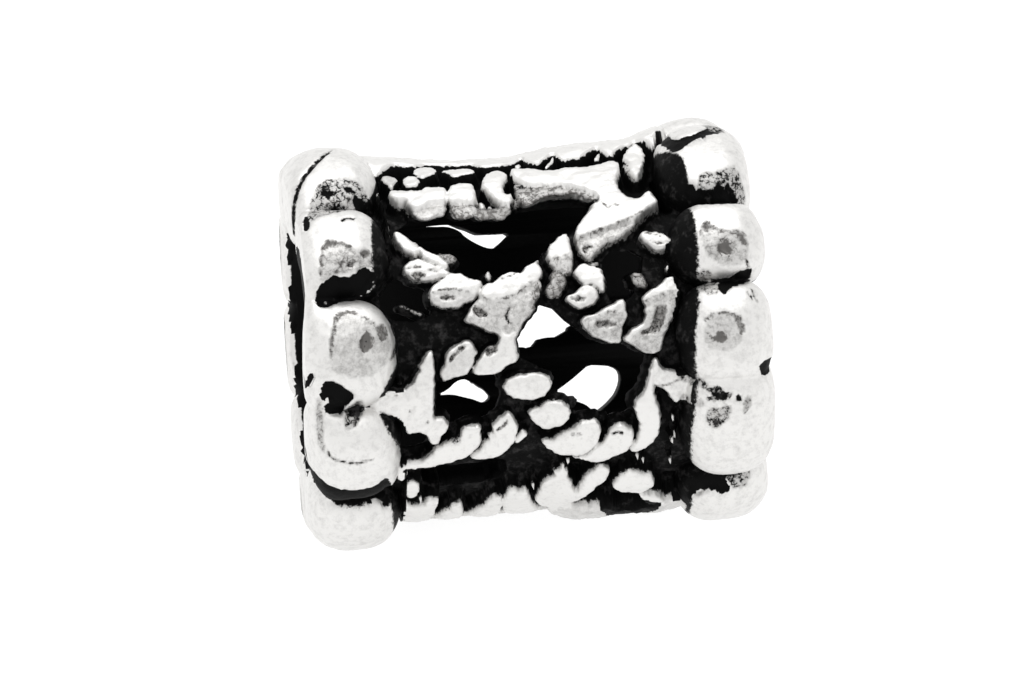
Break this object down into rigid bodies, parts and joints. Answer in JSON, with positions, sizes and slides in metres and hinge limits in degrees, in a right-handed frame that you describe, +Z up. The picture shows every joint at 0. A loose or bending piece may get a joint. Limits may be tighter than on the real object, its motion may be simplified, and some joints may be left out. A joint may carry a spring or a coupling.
{
  "type": "dreadlock bead",
  "caption": "Silver dreadlock bead: a cast tube pierced with windows, with raised twisted-rope work between end rings of granules, bored through for a lock of hair.",
  "frame": {"origin": "the bore's axis at the bead's mid-length", "axes": "+X along the bore, from the end at the picture's left to the end at its right; +Z up with the bead lying on its side; the picture looks from -Y and above"},
  "size_m": [0.012, 0.0108, 0.0106],
  "materials": {
    "bead": "cast sterling silver, oxidised black in the recesses and tumbled bright on the high places"
  },
  "bodies": {
    "root": {"bead": "bead"}
  },
  "joints": []
}
